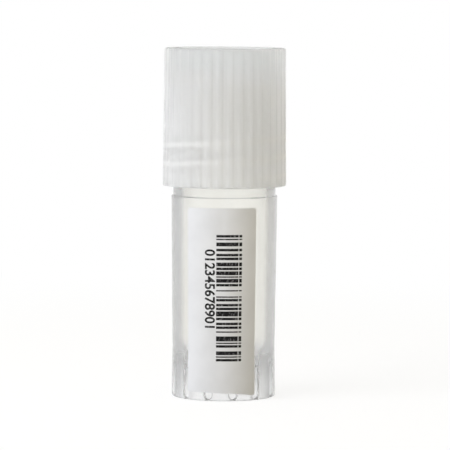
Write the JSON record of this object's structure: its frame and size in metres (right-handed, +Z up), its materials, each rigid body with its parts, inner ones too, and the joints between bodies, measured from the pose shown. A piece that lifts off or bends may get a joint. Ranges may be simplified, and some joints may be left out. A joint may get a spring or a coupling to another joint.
{
  "type": "cryovial",
  "caption": "Self-standing cryovial with an external screw thread, a ribbed screw cap with its seal, and a label round the front.",
  "frame": {"origin": "centre of the foot ring, on the surface the vial stands on", "axes": "+Z up along the tube's axis to the cap; the label faces -Y; +X is to the right of someone facing the label"},
  "size_m": [0.0146, 0.0146, 0.0411],
  "materials": {
    "tube_polypropylene": "natural polypropylene, moulded, almost clear with a faint haze",
    "cap_polypropylene": "natural polypropylene, moulded, milky",
    "seal_silicone": "silicone rubber, translucent, matt",
    "label_film": "white film, satin, with black thermal print"
  },
  "bodies": {
    "vial": {"tube": "tube_polypropylene", "barcode_label": "label_film"},
    "seal": {"seal_ring": "seal_silicone"},
    "cap": {"screw_cap": "cap_polypropylene"}
  },
  "joints": [
    {"name": "cap_lift", "type": "slide", "parent": "vial", "child": "seal", "axis": [0, 0, 1], "range_m": [0, 0.01232]},
    {"name": "cap_turn", "type": "hinge", "parent": "seal", "child": "cap", "pos_m": [0, 0, 0.037], "axis": [0, 0, 1], "range_deg": [0, 1985]}
  ],
  "couplings": [
    {"joint": "cap_turn", "follows": "cap_lift", "rad_per_m": 2805}
  ]
}
